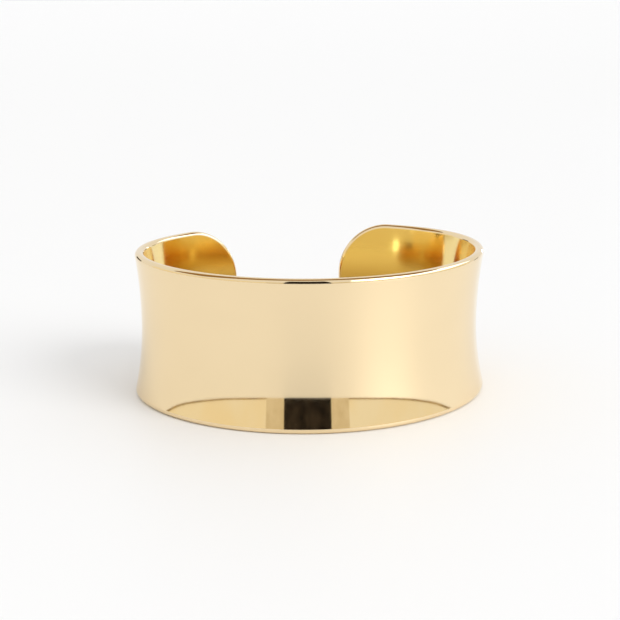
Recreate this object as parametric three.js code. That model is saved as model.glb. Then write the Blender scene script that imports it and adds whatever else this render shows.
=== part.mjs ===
// A cuff bracelet: one open oval band of polished metal, waisted at mid-height and flared
// towards both rims, with big rounded corners where its two ends face each other.
// Millimetres, +Z up. The band stands on its lower rim and the wrist gap faces +Y.

import * as THREE from 'three';
import { mergeVertices } from 'three/addons/utils/BufferGeometryUtils.js';

// Driving dimensions.
const HEIGHT = 27.1; // lower rim to upper rim
const WAIST_HALF_WIDTH = 31.95; // outer face at mid-height, along X
const WAIST_HALF_DEPTH = 26.13; // outer face at mid-height, along Y
const FRONT_FULLNESS = 0.58; // three-lobed share of the oval: rounder front, flatter back
const UPPER_FLARE = 1.235; // how far the outer face leans out at the upper rim
const LOWER_FLARE = 1.92; // and at the lower rim
const BACK_EASE = 0.6; // share of the flare that is lost from front to back
const WALL = 1.75; // thickness of the metal
const OUTER_ROUNDING = 0.95; // radius where the edge turns onto the outer face
const INNER_ROUNDING = 0.65; // and onto the inner face, with a narrow flat land between
const END_ANGLE = 0.259; // radians from +Y to the way that each end's outer face looks
const CORNER_LENGTH = 10.3; // rounded corner of an end, along the band
const CORNER_HEIGHT = 10.3; // and up the band

// How finely the band is divided along, up and across its edge.
const CORNER_STEPS = 8;
const COLUMNS = 72 + 2 * CORNER_STEPS;
const ROWS = 8;
const ROUNDING_STEPS = 3;
const EDGE_STEPS = 1 + 2 * ROUNDING_STEPS;

const { clamp, lerp } = THREE.MathUtils;

// The outer face at mid-height, from the left end round the front to the right end.
class WaistLine extends THREE.Curve {
  // The way that the face looks at parameter t, as an angle from +X.
  angleAt(t) {
    return lerp(Math.PI / 2 + END_ANGLE, 5 * Math.PI / 2 - END_ANGLE, t);
  }

  // The oval is the envelope of its tangents: reach is a tangent's distance from the axis,
  // and slide is how far along it the oval touches it.
  getPoint(t, target = new THREE.Vector3()) {
    const angle = this.angleAt(t);
    const cos = Math.cos(angle);
    const sin = Math.sin(angle);
    const ellipse = Math.hypot(WAIST_HALF_WIDTH * cos, WAIST_HALF_DEPTH * sin);
    const ellipseSlide = (WAIST_HALF_DEPTH ** 2 - WAIST_HALF_WIDTH ** 2) * sin * cos / ellipse;
    const reach = ellipse + FRONT_FULLNESS * Math.sin(3 * angle);
    const slide = ellipseSlide + 3 * FRONT_FULLNESS * Math.cos(3 * angle);
    return target.set(reach * cos - slide * sin, reach * sin + slide * cos, 0);
  }
}

// A share from 0 to 1 that turns a quarter, runs straight and turns a quarter again. The turn
// of each quarter goes from 0 at its end of the share to a right angle where the run begins.
function turnsAndRun(share, quarter) {
  const right = Math.PI / 2;
  return {
    firstTurn: clamp(share / quarter, 0, 1) * right,
    run: clamp((share - quarter) / (1 - 2 * quarter), 0, 1),
    lastTurn: clamp((1 - share) / quarter, 0, 1) * right,
  };
}

// Where a point of the unit box lies in the flat band: along it, up it and into its metal.
function flatBand(across, length) {
  const ends = turnsAndRun(across.x, CORNER_STEPS / COLUMNS);
  const edge = turnsAndRun(across.y, ROUNDING_STEPS / EDGE_STEPS);
  const corner = Math.min(ends.firstTurn, ends.lastTurn);

  const longWay = Math.cos(corner) / CORNER_LENGTH * Math.sign(across.x - 0.5);
  const highWay = Math.sin(corner) / CORNER_HEIGHT;
  const edgeWay = new THREE.Vector2(longWay, highWay).normalize();
  const inset = OUTER_ROUNDING * (1 - Math.sin(edge.firstTurn))
    + INNER_ROUNDING * (1 - Math.sin(edge.lastTurn));

  const along = CORNER_LENGTH * (1 - Math.cos(ends.firstTurn) + Math.cos(ends.lastTurn))
    + (length - 2 * CORNER_LENGTH) * ends.run - inset * edgeWay.x;
  const high = HEIGHT - CORNER_HEIGHT * (1 - Math.sin(corner)) - inset * edgeWay.y;
  const up = lerp(HEIGHT - high, high, across.z);
  const depth = OUTER_ROUNDING * (1 - Math.cos(edge.firstTurn))
    + (WALL - OUTER_ROUNDING - INNER_ROUNDING) * edge.run
    + INNER_ROUNDING * Math.cos(edge.lastTurn);
  return { along, up, depth };
}

// Bends a point of the flat band round the wrist and flares it.
function bend({ along, up, depth }, waist) {
  const t = waist.getUtoTmapping(0, along);
  const angle = waist.angleAt(t);
  const rise = 2 * up / HEIGHT - 1;
  const towardsBack = (1 + Math.sin(angle)) / 2;
  const ease = 1 - BACK_EASE * towardsBack ** 2;
  const reach = (rise > 0 ? UPPER_FLARE : LOWER_FLARE) * ease;
  const lean = reach * 4 * rise / HEIGHT;
  const outward = reach * rise ** 2 - depth * Math.hypot(1, lean);
  const point = waist.getPoint(t);
  return point.set(point.x + outward * Math.cos(angle), point.y + outward * Math.sin(angle), up);
}

// The whole band: a closed box, divided finely and bent to shape point by point.
function cuffGeometry() {
  const waist = new WaistLine();
  waist.arcLengthDivisions = 800;
  const length = waist.getLength();
  const box = new THREE.BoxGeometry(1, 1, 1, COLUMNS, EDGE_STEPS, ROWS);
  box.deleteAttribute('normal');
  box.deleteAttribute('uv');
  const geometry = mergeVertices(box);

  const points = geometry.attributes.position;
  const point = new THREE.Vector3();
  for (let index = 0; index < points.count; index += 1) {
    point.fromBufferAttribute(points, index).addScalar(0.5);
    point.copy(bend(flatBand(point, length), waist));
    points.setXYZ(index, point.x, point.y, point.z);
  }

  // The origin sits under the middle of the band's footprint.
  geometry.computeBoundingBox();
  const middle = geometry.boundingBox.getCenter(new THREE.Vector3());
  geometry.translate(-middle.x, -middle.y, 0);
  geometry.computeVertexNormals();
  return geometry;
}

const gold = new THREE.MeshStandardMaterial({ color: 0xe8cf9c, roughness: 0.12, metalness: 1 });

const cuff = new THREE.Mesh(cuffGeometry(), gold);
cuff.name = 'cuff';

const bracelet = new THREE.Group();
bracelet.add(cuff);

export default bracelet;
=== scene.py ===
"""An open cuff bracelet of polished gold plate, standing on its lower rim on a pale floor."""

import math

import bpy
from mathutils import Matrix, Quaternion, Vector


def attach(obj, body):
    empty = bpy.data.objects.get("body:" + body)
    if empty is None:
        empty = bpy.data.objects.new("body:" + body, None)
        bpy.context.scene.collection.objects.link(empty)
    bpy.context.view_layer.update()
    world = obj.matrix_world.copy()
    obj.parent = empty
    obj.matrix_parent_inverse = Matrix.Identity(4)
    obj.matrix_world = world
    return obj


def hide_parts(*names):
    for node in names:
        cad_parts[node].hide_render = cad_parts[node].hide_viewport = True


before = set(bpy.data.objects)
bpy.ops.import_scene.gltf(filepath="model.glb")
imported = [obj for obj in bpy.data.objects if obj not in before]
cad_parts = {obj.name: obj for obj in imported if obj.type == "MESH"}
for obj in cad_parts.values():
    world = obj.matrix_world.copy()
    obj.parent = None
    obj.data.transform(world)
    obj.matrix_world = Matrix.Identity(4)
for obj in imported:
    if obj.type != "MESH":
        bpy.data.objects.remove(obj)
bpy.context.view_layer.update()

MM = 0.001
RIGHT_ANGLE = math.pi / 2

# Noise mostly lies in this range, which is stretched over a finish's own.
NOISE_LOW = 0.3
NOISE_HIGH = 0.7

# ---------------------------------------------------------------------------
# Sizes of the band, in millimetres and radians, as the solid model has them.

BAND = {
    "Height": 27.1,
    "Waist Half Width": 31.95,
    "Waist Half Depth": 26.13,
    "Front Fullness": 0.58,
    "Upper Flare": 1.235,
    "Lower Flare": 1.92,
    "Back Ease": 0.6,
    "Wall": 1.75,
    "Outer Rounding": 0.95,
    "Inner Rounding": 0.65,
    "End Angle": 0.259,
    "Corner Length": 10.3,
    "Corner Height": 10.3,
}

# How finely the band is divided along, up and across its edge.
CORNER_COLUMNS = 30
COLUMNS = 360 + 2 * CORNER_COLUMNS
ROWS = 44
ROUNDING_STEPS = 6
EDGE_STEPS = 1 + 2 * ROUNDING_STEPS
WAIST_POINTS = 1601
NEARLY_WHOLE = 0.999


def linear(hex_colour):
    """An sRGB hex colour as linear red, green, blue and alpha."""
    shares = [int(hex_colour[place:place + 2], 16) / 255 for place in (1, 3, 5)]
    return [s / 12.92 if s <= 0.04045 else ((s + 0.055) / 1.055) ** 2.4 for s in shares] + [1.0]


def add(tree, kind, links=None, **settings):
    """Adds a node: links gives each input a socket to follow or a value to hold."""
    node = tree.nodes.new(kind)
    for name, value in settings.items():
        setattr(node, name, value)
    for name, source in (links or {}).items():
        if isinstance(source, bpy.types.NodeSocket):
            tree.links.new(source, node.inputs[name])
        else:
            node.inputs[name].default_value = source
    return node


def from_azimuth(azimuth, elevation=0):
    """The level or raised direction at an azimuth, as a unit vector.

    Azimuths are in degrees, from the way the cuff's front looks towards its right.
    """
    turn, lift = math.radians(azimuth), math.radians(elevation)
    level = math.cos(lift)
    return Vector((math.sin(turn) * level, -math.cos(turn) * level, math.sin(lift)))


# ---------------------------------------------------------------------------
# Finishes. Their patterns follow the flat band, in millimetres.

# Hairlines are about 0.01 mm apart on real plate, too fine to show: these are coarser.
HAIRLINE_GAP = 0.12
HAIRLINE_LENGTH = 6
HAIRLINE_DEPTH = 0.0001

# Ripples of the hand-held polish.
RIPPLE_LENGTH = 9
RIPPLE_HEIGHT = 6
RIPPLE_DEPTH = 0.006

# Lines of the satin wheel, which are also about 0.01 mm apart on real plate.
SATIN_GAP = 0.2
SATIN_LENGTH = 9
SATIN_DEPTH = 0.0006


def polished_gold_plate():
    """Gold plate over brass, buffed to a mirror on the outer face and the edges.

    The eye gets a clear reflection in a pale champagne gold, a little loosened by the broad
    ripples and the faint lengthwise hairlines that a buffing wheel leaves.
    """
    material = bpy.data.materials.new("gold_plate_mirror_polished")
    material.use_nodes = True
    tree = material.node_tree
    tree.nodes.clear()
    place = add(tree, "ShaderNodeUVMap", uv_map="flat_band").outputs["UV"]

    hairline_place = add(tree, "ShaderNodeMapping", {
        "Vector": place, "Scale": (1 / HAIRLINE_LENGTH, 1 / HAIRLINE_GAP, 1),
    })
    hairlines = add(tree, "ShaderNodeTexNoise", {
        "Vector": hairline_place.outputs[0], "Scale": 1.0, "Detail": 3.0, "Roughness": 0.6,
    }, noise_dimensions="2D")
    ripple_place = add(tree, "ShaderNodeMapping", {
        "Vector": place, "Scale": (1 / RIPPLE_LENGTH, 1 / RIPPLE_HEIGHT, 1),
    })
    ripples = add(tree, "ShaderNodeTexNoise", {
        "Vector": ripple_place.outputs[0], "Scale": 1.0, "Detail": 1.0, "Roughness": 0.4,
    }, noise_dimensions="2D")
    ripple_bump = add(tree, "ShaderNodeBump", {
        "Height": ripples.outputs[0], "Distance": RIPPLE_DEPTH * MM, "Strength": 1.0,
    })
    hairline_bump = add(tree, "ShaderNodeBump", {
        "Height": hairlines.outputs[0], "Distance": HAIRLINE_DEPTH * MM, "Strength": 1.0,
        "Normal": ripple_bump.outputs[0],
    })
    roughness = add(tree, "ShaderNodeMapRange", {
        "Value": hairlines.outputs[0], "From Min": NOISE_LOW, "From Max": NOISE_HIGH,
        "To Min": 0.035, "To Max": 0.06,
    })
    colour = add(tree, "ShaderNodeMix", {
        "Factor": ripples.outputs[0], "A": linear("#F2DCB4"), "B": linear("#F0DAB2"),
    }, data_type="RGBA")
    shader = add(tree, "ShaderNodeBsdfPrincipled", {
        "Base Color": colour.outputs["Result"], "Metallic": 1.0,
        "Roughness": roughness.outputs[0], "Normal": hairline_bump.outputs[0],
    })
    add(tree, "ShaderNodeOutputMaterial", {"Surface": shader.outputs[0]})
    return material


def satin_gold_plate_painted_deeper():
    """The same plate on the inner face, buffed only to a satin.

    The eye gets soft, stretched reflections, deeper in colour where the gold mirrors itself.
    Its colour is also painted deeper and yellower than the outer face's gold, a painted share
    of the deepening that those reflections of itself bring.
    """
    material = bpy.data.materials.new("gold_plate_satin_painted_deeper")
    material.use_nodes = True
    tree = material.node_tree
    tree.nodes.clear()
    place = add(tree, "ShaderNodeUVMap", uv_map="flat_band").outputs["UV"]

    line_place = add(tree, "ShaderNodeMapping", {
        "Vector": place, "Scale": (1 / SATIN_LENGTH, 1 / SATIN_GAP, 1),
    })
    lines = add(tree, "ShaderNodeTexNoise", {
        "Vector": line_place.outputs[0], "Scale": 1.0, "Detail": 3.0, "Roughness": 0.6,
    }, noise_dimensions="2D")
    line_bump = add(tree, "ShaderNodeBump", {
        "Height": lines.outputs[0], "Distance": SATIN_DEPTH * MM, "Strength": 1.0,
    })
    roughness = add(tree, "ShaderNodeMapRange", {
        "Value": lines.outputs[0], "From Min": NOISE_LOW, "From Max": NOISE_HIGH,
        "To Min": 0.09, "To Max": 0.13,
    })
    # Painted depth: a deeper, yellower copy of the outer face's gold, which paints in part of the
    # saturation that the inner face's reflections of itself bring.
    colour = add(tree, "ShaderNodeMix", {
        "Factor": lines.outputs[0], "A": linear("#F5DE9D"), "B": linear("#F2D895"),
    }, data_type="RGBA")
    shader = add(tree, "ShaderNodeBsdfPrincipled", {
        "Base Color": colour.outputs["Result"], "Metallic": 1.0,
        "Roughness": roughness.outputs[0], "Normal": line_bump.outputs[0],
    })
    add(tree, "ShaderNodeOutputMaterial", {"Surface": shader.outputs[0]})
    return material


# ---------------------------------------------------------------------------
# The band's rule, as rows of result, operation and operands. A plain number is a number, and
# anything else names an input of the tree or an earlier result.

# The outer face at mid-height is the envelope of its tangents: reach is a tangent's distance
# from the axis, and slide is how far along it the oval touches it.
WAIST_LINE = (
    ("share", "DIVIDE", "Index", WAIST_POINTS - 1),
    ("first angle", "ADD", "End Angle", math.pi / 2),
    ("sweep", "MULTIPLY_ADD", "End Angle", -2, 2 * math.pi),
    ("angle", "MULTIPLY_ADD", "share", "sweep", "first angle"),
    ("cos", "COSINE", "angle"),
    ("sin", "SINE", "angle"),
    ("wide", "MULTIPLY", "Waist Half Width", "cos"),
    ("deep", "MULTIPLY", "Waist Half Depth", "sin"),
    ("wide square", "MULTIPLY", "wide", "wide"),
    ("ellipse square", "MULTIPLY_ADD", "deep", "deep", "wide square"),
    ("ellipse", "SQRT", "ellipse square"),
    ("width square", "MULTIPLY", "Waist Half Width", "Waist Half Width"),
    ("depth square", "MULTIPLY", "Waist Half Depth", "Waist Half Depth"),
    ("square gap", "SUBTRACT", "depth square", "width square"),
    ("sin cos", "MULTIPLY", "sin", "cos"),
    ("gap sin cos", "MULTIPLY", "square gap", "sin cos"),
    ("ellipse slide", "DIVIDE", "gap sin cos", "ellipse"),
    ("3 angle", "MULTIPLY", "angle", 3),
    ("sin 3", "SINE", "3 angle"),
    ("cos 3", "COSINE", "3 angle"),
    ("reach", "MULTIPLY_ADD", "Front Fullness", "sin 3", "ellipse"),
    ("3 cos 3", "MULTIPLY", "cos 3", 3),
    ("slide", "MULTIPLY_ADD", "Front Fullness", "3 cos 3", "ellipse slide"),
    ("reach cos", "MULTIPLY", "reach", "cos"),
    ("slide sin", "MULTIPLY", "slide", "sin"),
    ("slide cos", "MULTIPLY", "slide", "cos"),
    ("waist x", "SUBTRACT", "reach cos", "slide sin"),
    ("waist y", "MULTIPLY_ADD", "reach", "sin", "slide cos"),
)

# A share from 0 to 1 turns a quarter, runs straight and turns a quarter again. This holds for
# the band's length with its two ends, and for the edge's breadth with its two roundings.
TURNS_AND_RUN = (
    ("rest", "SUBTRACT", 1, "share"),
    ("first part", "DIVIDE", "share", "quarter"),
    ("first cap", "MINIMUM", "first part", 1),
    ("first turn", "MULTIPLY", "first cap", RIGHT_ANGLE),
    ("last part", "DIVIDE", "rest", "quarter"),
    ("last cap", "MINIMUM", "last part", 1),
    ("last turn", "MULTIPLY", "last cap", RIGHT_ANGLE),
    ("past quarter", "SUBTRACT", "share", "quarter"),
    ("straight", "MULTIPLY_ADD", "quarter", -2, 1),
    ("run part", "DIVIDE", "past quarter", "straight"),
    ("run floor", "MAXIMUM", "run part", 0),
    ("run", "MINIMUM", "run floor", 1),
    ("first cos", "COSINE", "first turn"),
    ("first sin", "SINE", "first turn"),
    ("last cos", "COSINE", "last turn"),
    ("last sin", "SINE", "last turn"),
)

# Where a point of the unit box lies in the flat band: along it, up it and into its metal.
FLAT_BAND = (
    ("outer turned", "SUBTRACT", 1, "edge first sin"),
    ("inner turned", "SUBTRACT", 1, "edge last sin"),
    ("outer inset", "MULTIPLY", "Outer Rounding", "outer turned"),
    ("inset", "MULTIPLY_ADD", "Inner Rounding", "inner turned", "outer inset"),
    ("outer depth share", "SUBTRACT", 1, "edge first cos"),
    ("outer depth", "MULTIPLY", "Outer Rounding", "outer depth share"),
    ("both roundings", "ADD", "Outer Rounding", "Inner Rounding"),
    ("land", "SUBTRACT", "Wall", "both roundings"),
    ("depth over land", "MULTIPLY_ADD", "land", "edge run", "outer depth"),
    ("depth", "MULTIPLY_ADD", "Inner Rounding", "edge last cos", "depth over land"),
    ("corner", "MINIMUM", "end first turn", "end last turn"),
    ("corner cos", "COSINE", "corner"),
    ("corner sin", "SINE", "corner"),
    ("past middle", "SUBTRACT", "x", 0.5),
    ("side", "SIGN", "past middle"),
    ("side cos", "MULTIPLY", "side", "corner cos"),
    ("long way", "DIVIDE", "side cos", "Corner Length"),
    ("high way", "DIVIDE", "corner sin", "Corner Height"),
    ("long square", "MULTIPLY", "long way", "long way"),
    ("way square", "MULTIPLY_ADD", "high way", "high way", "long square"),
    ("way", "SQRT", "way square"),
    ("inset share", "DIVIDE", "inset", "way"),
    ("long inset", "MULTIPLY", "inset share", "long way"),
    ("high inset", "MULTIPLY", "inset share", "high way"),
    ("end turned", "SUBTRACT", "end last cos", "end first cos"),
    ("end turned in all", "ADD", "end turned", 1),
    ("length between corners", "MULTIPLY_ADD", "Corner Length", -2, "length"),
    ("length run", "MULTIPLY", "length between corners", "end run"),
    ("along edge", "MULTIPLY_ADD", "Corner Length", "end turned in all", "length run"),
    ("along", "SUBTRACT", "along edge", "long inset"),
    ("height at end", "SUBTRACT", "Height", "Corner Height"),
    ("high edge", "MULTIPLY_ADD", "Corner Height", "corner sin", "height at end"),
    ("high", "SUBTRACT", "high edge", "high inset"),
    ("low", "SUBTRACT", "Height", "high"),
    ("row angle", "MULTIPLY", "z", math.pi),
    ("row cos", "COSINE", "row angle"),
    ("row share", "MULTIPLY_ADD", "row cos", -0.5, 0.5),
    ("high to low", "SUBTRACT", "high", "low"),
    ("up", "MULTIPLY_ADD", "high to low", "row share", "low"),
)

# The flat point flared, and taken round the wrist: out from the waist line at its length
# along it.
BENT_BAND = (
    ("there cos", "COSINE", "angle there"),
    ("there sin", "SINE", "angle there"),
    ("up share", "DIVIDE", "up", "Height"),
    ("rise", "MULTIPLY_ADD", "up share", 2, -1),
    ("upper half", "GREATER_THAN", "rise", 0),
    ("flare gap", "SUBTRACT", "Upper Flare", "Lower Flare"),
    ("full flare", "MULTIPLY_ADD", "flare gap", "upper half", "Lower Flare"),
    ("back share", "MULTIPLY_ADD", "there sin", 0.5, 0.5),
    ("back square", "MULTIPLY", "back share", "back share"),
    ("flare lost", "MULTIPLY", "Back Ease", "back square"),
    ("ease", "SUBTRACT", 1, "flare lost"),
    ("flare reach", "MULTIPLY", "full flare", "ease"),
    ("flare per rise", "MULTIPLY", "flare reach", "rise"),
    ("flare", "MULTIPLY", "flare per rise", "rise"),
    ("quarter height", "DIVIDE", "Height", 4),
    ("lean", "DIVIDE", "flare per rise", "quarter height"),
    ("lean square", "MULTIPLY_ADD", "lean", "lean", 1),
    ("stretch", "SQRT", "lean square"),
    ("level depth", "MULTIPLY", "depth", "stretch"),
    ("outward", "SUBTRACT", "flare", "level depth"),
    ("x bent", "MULTIPLY_ADD", "outward", "there cos", "waist x there"),
    ("y bent", "MULTIPLY_ADD", "outward", "there sin", "waist y there"),
)


def work_out(tree, values, steps):
    """Adds the steps of a rule to the tree, and their results to the values by name."""
    for name, operation, *operands in steps:
        sources = {place: values.get(source, source) for place, source in enumerate(operands)}
        values[name] = add(tree, "ShaderNodeMath", sources, operation=operation).outputs[0]


def bent_band_tree():
    """The tree that divides a box finely and bends it into the cuff."""
    tree = bpy.data.node_groups.new("bent_band", "GeometryNodeTree")
    tree.is_modifier = True
    tree.interface.new_socket("Geometry", in_out="OUTPUT", socket_type="NodeSocketGeometry")
    for name in BAND:
        tree.interface.new_socket(name, in_out="INPUT", socket_type="NodeSocketFloat")
    for name in ("Mirror Finish", "Satin Finish"):
        tree.interface.new_socket(name, in_out="INPUT", socket_type="NodeSocketMaterial")
    given = add(tree, "NodeGroupInput")
    values = {name: given.outputs[name] for name in BAND}

    # The waist line is a true curve, so that a length along it can be looked up.
    values["Index"] = add(tree, "GeometryNodeInputIndex").outputs[0]
    work_out(tree, values, WAIST_LINE)
    waist_point = add(tree, "ShaderNodeCombineXYZ", {
        "X": values["waist x"], "Y": values["waist y"],
    })
    straight = add(tree, "GeometryNodeCurvePrimitiveLine")
    divided = add(tree, "GeometryNodeResampleCurve", {
        "Curve": straight.outputs[0], "Count": WAIST_POINTS,
    })
    waist = add(tree, "GeometryNodeSetPosition", {
        "Geometry": divided.outputs[0], "Position": waist_point.outputs[0],
    }).outputs[0]
    values["length"] = add(tree, "GeometryNodeCurveLength", {"Curve": waist}).outputs[0]

    box = add(tree, "GeometryNodeMeshCube", {
        "Vertices X": COLUMNS + 1, "Vertices Y": EDGE_STEPS + 1, "Vertices Z": ROWS + 1,
    })
    centred = add(tree, "GeometryNodeInputPosition").outputs[0]
    across = add(tree, "ShaderNodeVectorMath", {
        0: centred, 1: (0.5, 0.5, 0.5),
    }, operation="ADD")
    shares = add(tree, "ShaderNodeSeparateXYZ", {0: across.outputs[0]})
    values.update({"x": shares.outputs[0], "y": shares.outputs[1], "z": shares.outputs[2]})

    for part, share, quarter in (
        ("end", "x", CORNER_COLUMNS / COLUMNS), ("edge", "y", ROUNDING_STEPS / EDGE_STEPS),
    ):
        turns = {"share": values[share], "quarter": quarter}
        work_out(tree, turns, TURNS_AND_RUN)
        values.update({f"{part} {name}": value for name, value in turns.items()})
    work_out(tree, values, FLAT_BAND)

    there = add(tree, "GeometryNodeSampleCurve", {
        "Curves": waist, "Value": values["angle"], "Length": values["along"],
    }, mode="LENGTH", data_type="FLOAT")
    waist_there = add(tree, "ShaderNodeSeparateXYZ", {0: there.outputs["Position"]})
    values["angle there"] = there.outputs["Value"]
    values["waist x there"] = waist_there.outputs[0]
    values["waist y there"] = waist_there.outputs[1]
    work_out(tree, values, BENT_BAND)
    bent_point = add(tree, "ShaderNodeCombineXYZ", {
        "X": values["x bent"], "Y": values["y bent"], "Z": values["up"],
    })

    # The flat place of each point stays on the mesh as a UV map in millimetres, and its depth
    # in the metal as an attribute.
    flat_place = add(tree, "ShaderNodeCombineXYZ", {"X": values["along"], "Y": values["up"]})
    with_place = add(tree, "GeometryNodeStoreNamedAttribute", {
        "Geometry": box.outputs[0], "Name": "flat_band", "Value": flat_place.outputs[0],
    }, data_type="FLOAT2", domain="CORNER")
    with_depth = add(tree, "GeometryNodeStoreNamedAttribute", {
        "Geometry": with_place.outputs[0], "Name": "depth_share", "Value": values["y"],
    }, data_type="FLOAT", domain="POINT")
    bent = add(tree, "GeometryNodeSetPosition", {
        "Geometry": with_depth.outputs[0], "Position": bent_point.outputs[0],
    })

    # The origin sits under the middle of the footprint, and millimetres become metres.
    footprint = add(tree, "GeometryNodeBoundBox", {"Geometry": bent.outputs[0]})
    corners = add(tree, "ShaderNodeVectorMath", {
        0: footprint.outputs["Min"], 1: footprint.outputs["Max"],
    }, operation="ADD")
    to_origin = add(tree, "ShaderNodeVectorMath", {
        0: corners.outputs[0], 1: (-0.5 * MM, -0.5 * MM, 0),
    }, operation="MULTIPLY")
    placed = add(tree, "GeometryNodeTransform", {
        "Geometry": bent.outputs[0], "Translation": to_origin.outputs[0], "Scale": (MM, MM, MM),
    })

    # Only the inner face lies at the full depth, where the share is 1.
    depth_share = add(tree, "GeometryNodeInputNamedAttribute", {
        "Name": "depth_share",
    }, data_type="FLOAT")
    inner_face = add(tree, "ShaderNodeMath", {
        0: depth_share.outputs["Attribute"], 1: NEARLY_WHOLE,
    }, operation="GREATER_THAN")
    smooth = add(tree, "GeometryNodeSetShadeSmooth", {"Geometry": placed.outputs[0]})
    real = add(tree, "GeometryNodeRealizeInstances", {"Geometry": smooth.outputs[0]})
    mirror = add(tree, "GeometryNodeSetMaterial", {
        "Geometry": real.outputs[0], "Material": given.outputs["Mirror Finish"],
    })
    satin = add(tree, "GeometryNodeSetMaterial", {
        "Geometry": mirror.outputs[0], "Material": given.outputs["Satin Finish"],
        "Selection": inner_face.outputs[0],
    })
    add(tree, "NodeGroupOutput", {"Geometry": satin.outputs[0]})
    return tree


def as_plain_mesh(piece):
    """Turns what the piece's modifiers make into its own mesh, and removes them."""
    evaluated = piece.evaluated_get(bpy.context.evaluated_depsgraph_get())
    mesh = bpy.data.meshes.new_from_object(evaluated)
    piece.modifiers.clear()
    piece.data = mesh
    mesh.name = piece.name


def make_band():
    """The cuff's one piece of metal."""
    band = bpy.data.objects.new("cuff_band", bpy.data.meshes.new("cuff_band_start"))
    bpy.context.scene.collection.objects.link(band)
    tree = bent_band_tree()
    inputs = dict(BAND)
    inputs["Mirror Finish"] = polished_gold_plate()
    inputs["Satin Finish"] = satin_gold_plate_painted_deeper()
    modifier = band.modifiers.new("bent_band", "NODES")
    modifier.node_group = tree
    for socket in tree.interface.items_tree:
        if socket.in_out == "INPUT":
            modifier[socket.identifier] = inputs[socket.name]
    as_plain_mesh(band)
    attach(band, "root")
    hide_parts("cuff")
    return band


# ---------------------------------------------------------------------------
# Studio, in metres and degrees.

FLOOR_HALF = 4.0
SKY_STRENGTH = 0.905
WINDOW_STRENGTH = 1.28
WINDOW_AZIMUTH = 41
WINDOW_ELEVATION = 33
WINDOW_WIDTH = 36

# The room that the mirror polish reflects, as glowing walls that stand round the floor. Each
# row is the wall's name, its radius, the heights of its foot and top, its first and last
# azimuth, the two colours it is mottled in, its glow and the size of the mottling.
WALL_STEPS = 48
ROUND_WALLS = (
    # The cream wall all round the front, and the dark line at its foot.
    ("room_wall", 0.9, 0, 0.34, -125, 110, ("#FFF3D4", "#FFF9E6"), 0.94, 0.3),
    ("wall_foot", 0.89, 0, 0.008, -125, 110, ("#B79A62", "#8F7444"), 0.9, 0.1),
    # A beige screen before the wall.
    ("beige_screen", 0.88, 0, 0.28, -34.4, 14.5, ("#EFE2C6", "#E3D4B4"), 0.9, 0.08),
    # Daylight at the right, which brings up the sheen of the floor there.
    ("side_window", 0.9, 0.3, 0.85, 60, 118, ("#E2ECFF", "#E8F0FF"), 2.6, 1.0),
    # A tall dark doorway before the screen.
    ("dark_gap", 0.86, 0, 1.22, -23.7, 3.9, ("#1A1613", "#362F28"), 1.0, 0.07),
    # Dark posts, which mark the tips of the rim.
    ("left_post", 0.9, 0, 0.16, -160, -145, ("#5A4A36", "#4A3C2A"), 1.0, 0.1),
    ("right_post", 0.9, 0, 0.06, 117, 126, ("#5A4A36", "#4A3C2A"), 1.0, 0.1),
    # A small lamp behind, which glints inside the right end.
    ("back_lamp", 0.6, 0.02, 0.09, 139, 144, ("#C4DEFF", "#C8E2FF"), 8.0, 1.0),
)

# A brown beam overhead, which the rounded edge of the upper rim reflects as a thin line.
BEAM_HALF_LENGTH = 1.5
BEAM_FRONT = -0.2
BEAM_BACK = 0.6
BEAM_HEIGHT = 1.0
BEAM_COLOURS = ("#A8834E", "#92703F")
BEAM_GLOW = 1.0
BEAM_GRAIN = 0.4


def stage_mesh(name, points, faces, material):
    """A mesh that belongs to the studio."""
    mesh = bpy.data.meshes.new(name)
    mesh.from_pydata(points, [], faces)
    mesh.materials.append(material)
    thing = bpy.data.objects.new(name, mesh)
    bpy.context.scene.collection.objects.link(thing)
    return thing


def satin_paper():
    """The white paper of the floor: matt, with a faint sheen towards the window."""
    material = bpy.data.materials.new("white_satin_paper")
    material.use_nodes = True
    tree = material.node_tree
    tree.nodes.clear()
    shader = add(tree, "ShaderNodeBsdfPrincipled", {
        "Base Color": linear("#F2F2F2"), "Roughness": 0.5,
    })
    add(tree, "ShaderNodeOutputMaterial", {"Surface": shader.outputs[0]})
    return material


def glowing_card(name, points, faces, colours, glow, grain):
    """A studio card that only reflections see, mottled in two colours."""
    material = bpy.data.materials.new(name)
    material.use_nodes = True
    tree = material.node_tree
    tree.nodes.clear()
    place = add(tree, "ShaderNodeTexCoord")
    mottle = add(tree, "ShaderNodeTexNoise", {
        "Vector": place.outputs["Object"], "Scale": 1 / grain, "Detail": 2,
    })
    share = add(tree, "ShaderNodeMapRange", {
        "Value": mottle.outputs[0], "From Min": 0.35, "From Max": 0.65,
    })
    colour = add(tree, "ShaderNodeMix", {
        "Factor": share.outputs[0], "A": linear(colours[0]), "B": linear(colours[1]),
    }, data_type="RGBA")
    shader = add(tree, "ShaderNodeEmission", {
        "Color": colour.outputs["Result"], "Strength": glow,
    })
    add(tree, "ShaderNodeOutputMaterial", {"Surface": shader.outputs[0]})
    card = stage_mesh(name, points, faces, material)
    card.visible_camera = False
    card.visible_diffuse = False
    card.visible_shadow = False


def round_wall(name, radius, foot, top, first, last, colours, glow, grain):
    """A glowing wall that stands round part of the floor, from its foot to its top."""
    points = []
    for step in range(WALL_STEPS + 1):
        below = from_azimuth(first + (last - first) * step / WALL_STEPS) * radius
        points += [below + Vector((0, 0, foot)), below + Vector((0, 0, top))]
    faces = [(2 * s, 2 * s + 1, 2 * s + 3, 2 * s + 2) for s in range(WALL_STEPS)]
    glowing_card(name, points, faces, colours, glow, grain)


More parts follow.
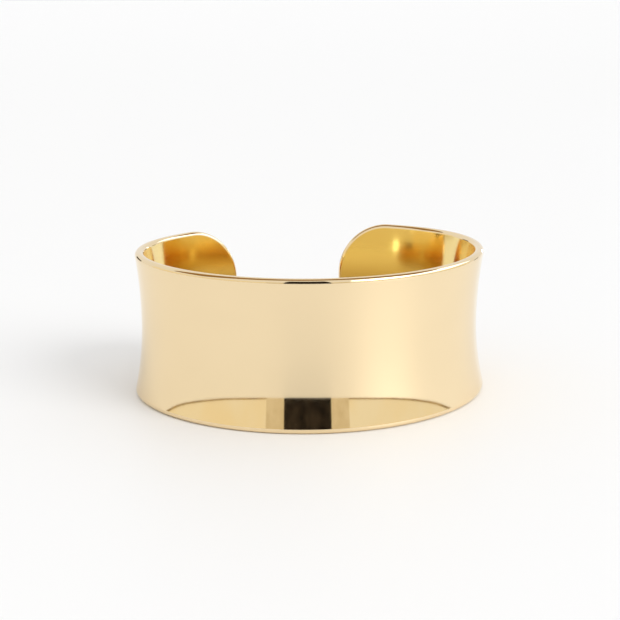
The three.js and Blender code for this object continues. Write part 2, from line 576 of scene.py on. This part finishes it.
def make_studio():
    """A white floor under a soft sky, a broad window at the front right and the room round it."""
    stage_mesh("floor", [
        (-FLOOR_HALF, -FLOOR_HALF, 0), (FLOOR_HALF, -FLOOR_HALF, 0),
        (FLOOR_HALF, FLOOR_HALF, 0), (-FLOOR_HALF, FLOOR_HALF, 0),
    ], [(0, 1, 2, 3)], satin_paper())

    world = bpy.data.worlds.new("soft_sky")
    world.use_nodes = True
    sky = world.node_tree.nodes["Background"]
    sky.inputs["Color"].default_value = linear("#FFFFFF")
    sky.inputs["Strength"].default_value = SKY_STRENGTH
    bpy.context.scene.world = world

    window = bpy.data.lights.new("window", "SUN")
    window.energy = WINDOW_STRENGTH
    window.angle = math.radians(WINDOW_WIDTH)
    window_object = bpy.data.objects.new("window", window)
    window_object.rotation_mode = "QUATERNION"
    window_object.rotation_quaternion = (
        from_azimuth(WINDOW_AZIMUTH, WINDOW_ELEVATION).to_track_quat("Z", "Y")
    )
    bpy.context.scene.collection.objects.link(window_object)

    for row in ROUND_WALLS:
        round_wall(*row)
    glowing_card("brown_beam", [
        (-BEAM_HALF_LENGTH, BEAM_FRONT, BEAM_HEIGHT), (BEAM_HALF_LENGTH, BEAM_FRONT, BEAM_HEIGHT),
        (BEAM_HALF_LENGTH, BEAM_BACK, BEAM_HEIGHT), (-BEAM_HALF_LENGTH, BEAM_BACK, BEAM_HEIGHT),
    ], [(0, 1, 2, 3)], BEAM_COLOURS, BEAM_GLOW, BEAM_GRAIN)


# ---------------------------------------------------------------------------
# Camera. It aims beside the middle of the waist line's axis, which lies behind the origin.

CAMERA_DISTANCE = 255.5 * MM
CAMERA_AZIMUTH = -12.34
CAMERA_ELEVATION = 14.26
CAMERA_ROLL = 0.02
CAMERA_LENS = 78.31
SENSOR_WIDTH = 36
NEAREST_SEEN = 0.01
AIM_RIGHT = -0.385 * MM
AIM_UP = 1.374 * MM
AXIS_BEHIND_ORIGIN = 2.204 * MM


def make_camera():
    """The camera looks a little down at the front of the cuff, from its left."""
    back = from_azimuth(CAMERA_AZIMUTH, CAMERA_ELEVATION)
    right = from_azimuth(CAMERA_AZIMUTH + 90)
    centre = Vector((0, AXIS_BEHIND_ORIGIN, BAND["Height"] / 2 * MM))
    place = centre + back * CAMERA_DISTANCE
    aim = centre + right * AIM_RIGHT + back.cross(right) * AIM_UP
    camera = bpy.data.objects.new("camera", bpy.data.cameras.new("camera"))
    camera.data.lens = CAMERA_LENS
    camera.data.sensor_width = SENSOR_WIDTH
    camera.data.clip_start = NEAREST_SEEN
    camera.location = place
    camera.rotation_mode = "QUATERNION"
    roll = Quaternion((0, 0, 1), math.radians(CAMERA_ROLL))
    camera.rotation_quaternion = (aim - place).to_track_quat("-Z", "Y") @ roll
    bpy.context.scene.collection.objects.link(camera)
    bpy.context.scene.camera = camera


make_camera()
make_band()
make_studio()

# The inside of the band mirrors itself many times over.
bpy.context.scene.cycles.glossy_bounces = 12
bpy.context.scene.view_settings.view_transform = "Standard"
